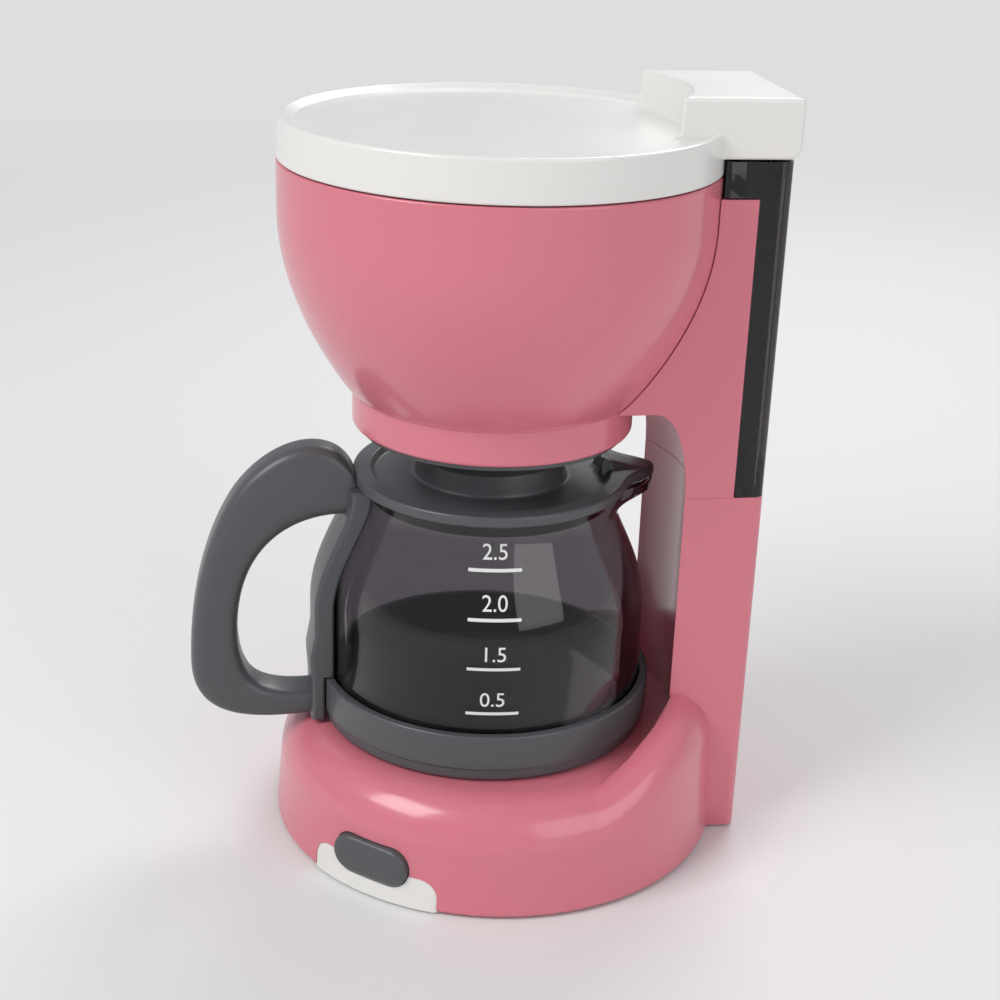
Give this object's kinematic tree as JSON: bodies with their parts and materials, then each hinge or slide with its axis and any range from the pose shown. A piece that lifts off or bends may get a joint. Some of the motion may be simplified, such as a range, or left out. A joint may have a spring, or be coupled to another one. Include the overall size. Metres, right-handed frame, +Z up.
{
  "type": "toy coffee maker",
  "caption": "Toy drip coffee maker with a push button in its round base, a hinged lid over the brew bowl and water tank, and a handled jug that slides out.",
  "frame": {"origin": "on the jug's axis, at the table under the base", "axes": "+Z up, -Y towards the jug's handle, +Y towards the column and water tank, +X the side with the button and the jug's scale"},
  "size_m": [0.109, 0.133, 0.1785],
  "materials": {
    "pink_plastic": "smooth moulded, semi-gloss",
    "white_plastic": "smooth moulded, semi-gloss",
    "grey_plastic": "fine moulded satin",
    "smoked_plastic": "clear, dark tinted, polished",
    "black_plastic": "moulded satin",
    "steel": "zinc plated",
    "circuit_laminate": "solder mask",
    "lens": "clear dome",
    "cell_sleeve": "plain sleeve over a metal can"
  },
  "bodies": {
    "housing": {"base_shell": "pink_plastic", "base_cover": "pink_plastic", "front_panel": "white_plastic", "column_lower": "pink_plastic", "column_upper": "pink_plastic", "brew_bowl": "pink_plastic", "outlet_ring": "grey_plastic", "water_tank": "smoked_plastic", "hinge_pin": "steel", "switch_board": "circuit_laminate", "tact_switch": "black_plastic", "circuit_board": "circuit_laminate", "led": "lens", "speaker": "black_plastic", "battery_tray": "black_plastic", "battery_contacts": "steel", "cell_left": "cell_sleeve", "cell_right": "cell_sleeve", "case_screws": "steel"},
    "lid": {"top_lid": "white_plastic"},
    "button": {"power_button": "grey_plastic"},
    "battery_hatch": {"battery_door": "pink_plastic", "door_screw": "steel"},
    "jug": {"jug_body": "smoked_plastic", "jug_band": "grey_plastic", "jug_floor": "black_plastic", "jug_handle": "grey_plastic", "jug_lid": "grey_plastic"}
  },
  "joints": [
    {"name": "lid_hinge", "type": "hinge", "parent": "housing", "child": "lid", "pos_m": [0, 0.0592, 0.1682], "axis": [-1, 0, 0], "range_deg": [0, 85]},
    {"name": "button_press", "type": "slide", "parent": "housing", "child": "button", "axis": [-0.766, 0.6428, 0], "range_m": [0, 0.0015], "stiffness_N_per_m": 300, "springref_m": -0.0005},
    {"name": "hatch_drop", "type": "slide", "parent": "housing", "child": "battery_hatch", "axis": [0, 0, -1], "range_m": [0, 0.012]},
    {"name": "jug_slide", "type": "slide", "parent": "housing", "child": "jug", "axis": [0, -1, 0], "range_m": [0, 0.12]}
  ]
}
